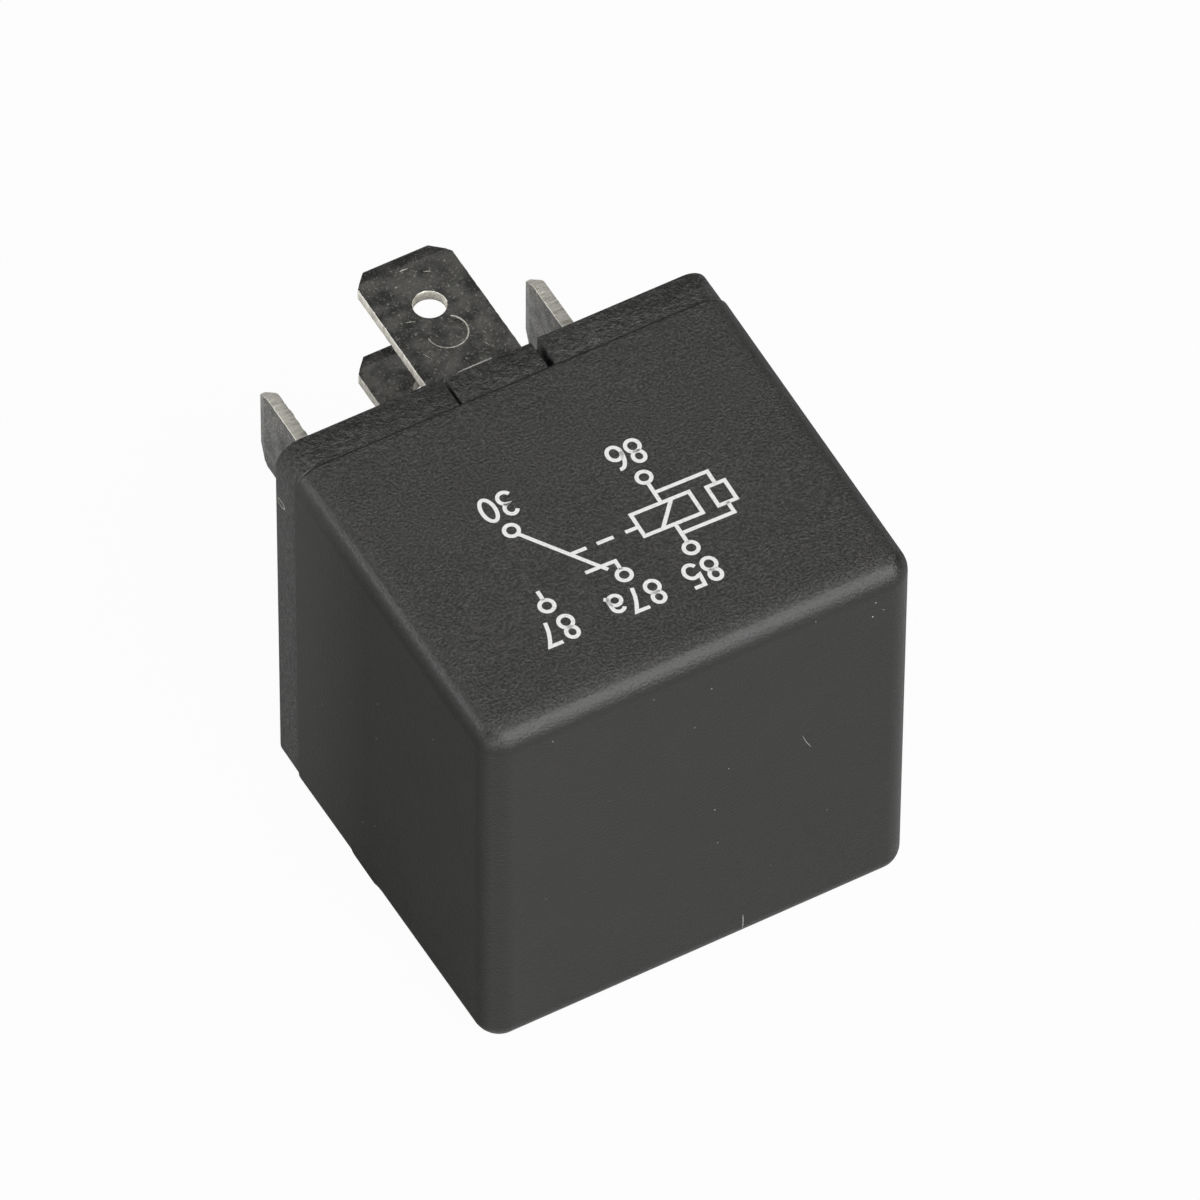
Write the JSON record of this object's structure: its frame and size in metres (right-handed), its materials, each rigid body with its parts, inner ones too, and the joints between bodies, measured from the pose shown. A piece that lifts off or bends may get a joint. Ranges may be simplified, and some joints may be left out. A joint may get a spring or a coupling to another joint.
{
  "type": "automotive relay",
  "caption": "Square plug-in changeover relay with a black cover, flat blade terminals and a hinged armature inside.",
  "frame": {"origin": "centre of the length and width, at the lowest edge of the rear wall that the relay lies on", "axes": "+Y along the terminals, from the closed end of the cover to the blade tips; +Z out of the printed front; +X to the side of terminal 86"},
  "size_m": [0.0284, 0.0364, 0.0288],
  "materials": {
    "cover_plastic": "fine matte moulded black",
    "base_plastic": "smooth moulded black, slightly glossier than the cover",
    "tinned_brass": "dull tin plate, speckled, with bright sheared edges",
    "soft_iron": "zinc plated",
    "bobbin_plastic": "natural glass-filled nylon",
    "enamelled_copper": "enamelled wire",
    "bare_copper": "braided bare copper",
    "spring_bronze": "rolled bronze strip",
    "rivet_brass": "turned brass",
    "contact_silver": "satin silver alloy",
    "spring_steel": "drawn spring wire",
    "resistor_lacquer": "lacquered"
  },
  "bodies": {
    "housing": {"cover": "cover_plastic", "base": "base_plastic", "terminal_30": "tinned_brass", "terminal_85": "tinned_brass", "terminal_86": "tinned_brass", "terminal_87": "tinned_brass", "terminal_87a": "tinned_brass", "yoke": "soft_iron", "iron_core": "soft_iron", "bobbin": "bobbin_plastic", "coil_winding": "enamelled_copper", "coil_lead_85": "enamelled_copper", "coil_lead_86": "enamelled_copper", "fixed_contact_no": "contact_silver", "fixed_contact_nc": "contact_silver", "return_spring": "spring_steel", "copper_braid": "bare_copper", "suppression_resistor": "resistor_lacquer", "resistor_leads": "tinned_brass"},
    "armature_unit": {"armature": "soft_iron", "contact_spring": "spring_bronze", "leaf_rivets": "rivet_brass", "moving_contact": "contact_silver"}
  },
  "joints": [
    {"name": "armature_hinge", "type": "hinge", "parent": "housing", "child": "armature_unit", "pos_m": [0, -0.01074, 0.00555], "axis": [-1, 0, 0], "range_deg": [0, 3.2], "stiffness_Nm_per_rad": 0.004, "springref_deg": -57.3}
  ]
}
